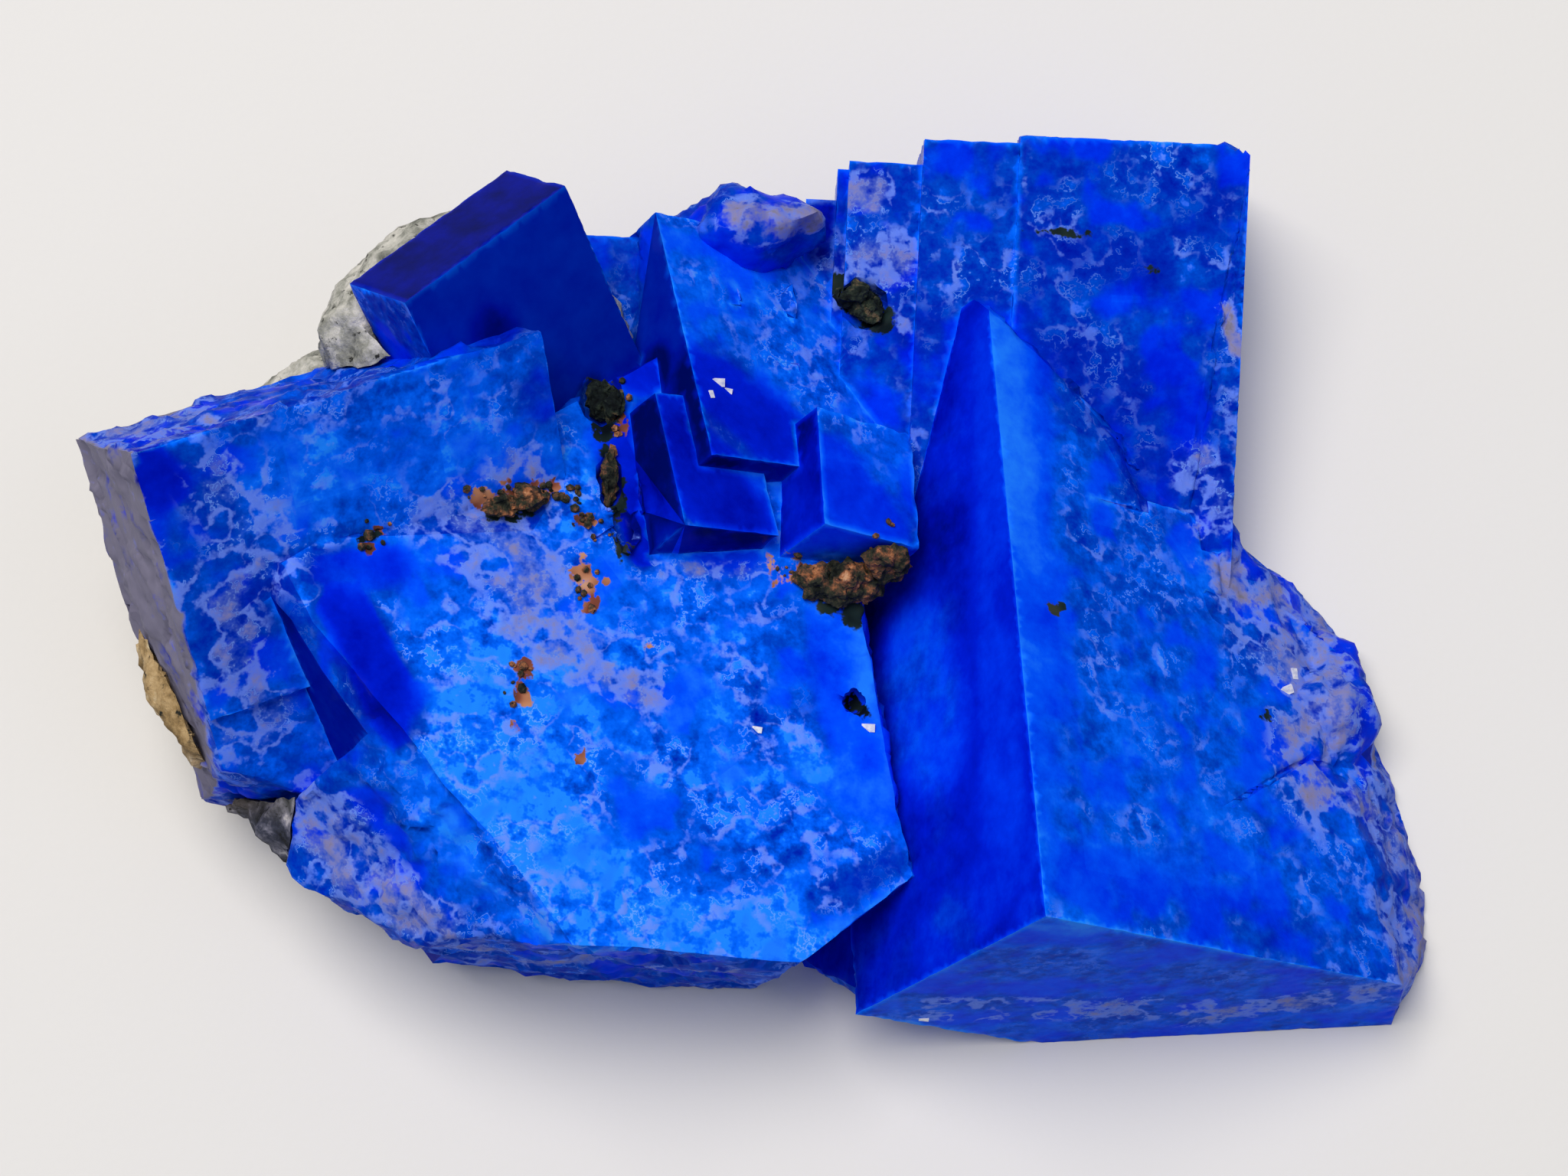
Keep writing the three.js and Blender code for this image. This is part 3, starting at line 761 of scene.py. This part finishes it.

# Layered rock, matt and dusty: pale grey, ochre where iron has stained it, darker towards the lower edge
flaky, flaky_shader, flaky_place = new_material("flaky_stained_rock")
rock_tint_node = add_node(flaky, "VertexColor", {"layer_name": "ochre_and_lower_dark"})
rock_tint_parts = add_node(flaky, "SeparateColor", links={"Color": rock_tint_node.outputs["Color"]})
layering = add_node(flaky, "Mapping", {"Scale": (1, 1, 1.7)}, {"Vector": flaky_place}).outputs["Vector"]
layers = noise_of(flaky, layering, 2.2, 5, 0.65)
specks = noise_of(flaky, flaky_place, 0.7, 4, 0.7)
grey_tone, ochre_tone, dark_tone = (
    ramp_of(flaky, layers, stops) for stops in (GREY_ROCK, OCHRE_ROCK, DARK_ROCK)
)
rim_tone = mixed(flaky, rock_tint_parts.outputs["Red"], grey_tone, ochre_tone)
# Darker towards the lower edge
rock_tone = mixed(flaky, rock_tint_parts.outputs["Green"], rim_tone, dark_tone)
speckled = mixed(flaky, soft_step(flaky, specks, 0.58, 0.68), rock_tone, "#20221f")
flaky.node_tree.links.new(speckled, flaky_shader.inputs["Base Color"])
add_relief(flaky, flaky_shader, specks, 0.7, 0.3 * MM)
flaky_shader.inputs["Roughness"].default_value = 0.8
flaky_shader.inputs["Specular IOR Level"].default_value = 0.2
rock.data.materials.append(flaky)
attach(rock, "root")
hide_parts("host_rock")

# Iron and dark crusts
# Crumbly limonite and a greenish-black crust fill the pits and seams between the cubes. They are
# earthy, matt and loosely grown on, orange-brown where thin and nearly black in the depths.
CRUST_EDGE = 0.3 * MM                # longer edges are split, in this many passes
CRUST_SPLITS = 4
CRUST_CRUMB = 0.7                    # size and depth of the crumbling, in millimetres
CRUST_DEPTH = 0.3
CRUSTS = [                           # node, piece, its slot
    ("crust_pit", "dark_pit_crust", "dark_crust"),
    ("crust_upper", "dark_upper_crust", "dark_crust"),
    ("crust_seam", "seam_crust", "iron_crust"),
    ("crust_left", "left_iron_crust", "iron_crust"),
    ("crust_middle", "middle_iron_crust", "iron_crust"),
]


def crumbly_material(name, stops, pore_colour):
    """An earthy crust: patches of its colours, darker pores and a crumbly relief."""
    material, shader, place = new_material(name)
    patches = noise_of(material, place, 1.1, 5, 0.7)
    pores = noise_of(material, place, 0.35, 3, 0.6)
    in_pores = soft_step(material, pores, 0.56, 0.7)
    tone = mixed(material, in_pores, ramp_of(material, patches, stops), pore_colour)
    material.node_tree.links.new(tone, shader.inputs["Base Color"])
    add_relief(material, shader, pores, 0.8, 0.15 * MM)
    shader.inputs["Roughness"].default_value = 0.9
    shader.inputs["Specular IOR Level"].default_value = 0.12
    return material


crust_materials = {
    "iron_crust": crumbly_material(
        "crumbly_limonite",
        [(0.36, "#0f1414"), (0.47, "#2f3228"), (0.54, "#5c4232"), (0.61, "#96603f"), (0.7, "#bf9470")],
        "#15181a",
    ),
    "dark_crust": crumbly_material(
        "greenish_black_crust",
        [(0.34, "#05080c"), (0.47, "#141c1c"), (0.57, "#2c352c"), (0.68, "#6a5844")],
        "#080c10",
    ),
}
for node_name, piece_name, slot_name in CRUSTS:
    crust = plain_copy(node_name, piece_name)
    split_edges(crust.data, CRUST_EDGE, CRUST_SPLITS)
    places, corners, normals = read_mesh(crust.data)
    outward, _ = corner_normals(places, corners, normals)
    crumbling = smooth_noise(places, CRUST_CRUMB, seed=31) * CRUST_DEPTH
    write_places(crust.data, places + outward * crumbling[:, None])
    crust.data.materials.append(crust_materials[slot_name])
    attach(crust, "root")
    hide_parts(node_name)

# Loose crumbs of limonite
# Grains a fifth to two thirds of a millimetre across, earthy and matt like the crusts they fell
# from. They are caught in the pits and cracks round them.
CRUMB_PLACES = [                     # strokes on the display side, how many grains lie along each
    ((-18.5, 5.5), (-13.5, 6), 26),
    ((-13, 6), (-11, 3), 20),
    ((-12, 1.5), (-11.3, -1), 10),
    ((-15.5, -4.3), (-15.5, -6.6), 9),
    ((0, 1.2), (5, 0), 26),
    ((4, 0), (6, 3.5), 14),
    ((-10.5, 11.5), (-9.5, 9), 12),
    ((-25, 3), (-23.6, 3.4), 6),
]
CRUMB_SPREAD = 0.4                   # how far the grains stray from their stroke, in millimetres
CRUMB_RADII = (0.1 * MM, 0.32 * MM)
CRUMB_STRETCH = (0.6, 1.4)
CRUMB_LIFT = 0.3                     # how far a grain's middle stands off the surface, in radii


def join_pieces(pieces, name):
    """Joins small meshes into one named piece, with its origin at the world's."""
    deselect_all()
    for piece in pieces:
        piece.select_set(True)
    bpy.context.view_layer.objects.active = pieces[0]
    bpy.ops.object.join()
    bpy.ops.object.transform_apply(location=True, rotation=True, scale=True)
    joined = bpy.context.object
    joined.name = name
    return joined


dice = np.random.default_rng(7)
grains = []
for (x1, y1), (x2, y2), count in CRUMB_PLACES:
    for _ in range(count):
        share = dice.random()
        aside = dice.normal(0, CRUMB_SPREAD, 2)
        hit, normal = seen_at(x1 + (x2 - x1) * share + aside[0], y1 + (y2 - y1) * share + aside[1])
        radius = dice.uniform(*CRUMB_RADII)
        middle = hit + normal * radius * CRUMB_LIFT
        turn = dice.uniform(0, 3, 3)
        deselect_all()
        bpy.ops.mesh.primitive_ico_sphere_add(subdivisions=1, radius=radius, location=middle, rotation=turn)
        bpy.ops.transform.resize(value=tuple(dice.uniform(*CRUMB_STRETCH, 3)))
        grains.append(bpy.context.object)
crumbs = join_pieces(grains, "limonite_crumbs")
crumbs.data.materials.append(crust_materials["iron_crust"])
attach(crumbs, "root")

# Cleavage chips
# White splinters of fluorite, thin and bright, split off along the cleavage of the cubes. They are
# wedged in where the growth has been knocked.
CHIP_PLACES = [                      # right, up, length in millimetres
    (-3.9, 12.2, 0.8),
    (-3.3, 11.7, 0.5),
    (-4.3, 11.5, 0.5),
    (30.3, -5.1, 0.7),
    (29.8, -6.1, 0.9),
    (8.3, -25.6, 0.6),
    (4.1, -0.1, 1.0),
    (3.6, 0.3, 0.7),
    (-1.6, -8.4, 0.6),
    (5.0, -8.3, 0.8),
]
CHIP_SHAPE = (1.0, 0.6, 0.22)        # length, width and thickness of a chip, as shares of its length

chips = []
for right, up, length in CHIP_PLACES:
    hit, normal = seen_at(right, up)
    turn = normal.to_track_quat("Z", "Y").to_euler()
    deselect_all()
    bpy.ops.mesh.primitive_cube_add(size=length * MM, location=hit, rotation=turn, scale=CHIP_SHAPE)
    bpy.ops.transform.rotate(value=dice.uniform(0, 3), orient_axis="Z", center_override=hit)
    chips.append(bpy.context.object)
splinters = join_pieces(chips, "cleavage_chips")

# White fluorite, glassy, so full of cleavage cracks that it throws back nearly all light
white, white_shader, white_place = new_material("white_fluorite_splinter")
white_tone = ramp_of(white, noise_of(white, white_place, 0.4, 3), [(0.35, "#b9bfdc"), (0.65, "#f1f0f2")])
white.node_tree.links.new(white_tone, white_shader.inputs["Base Color"])
white_shader.inputs["Roughness"].default_value = 0.3
white_shader.inputs["IOR"].default_value = FLUORITE_IOR
splinters.data.materials.append(white)
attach(splinters, "root")
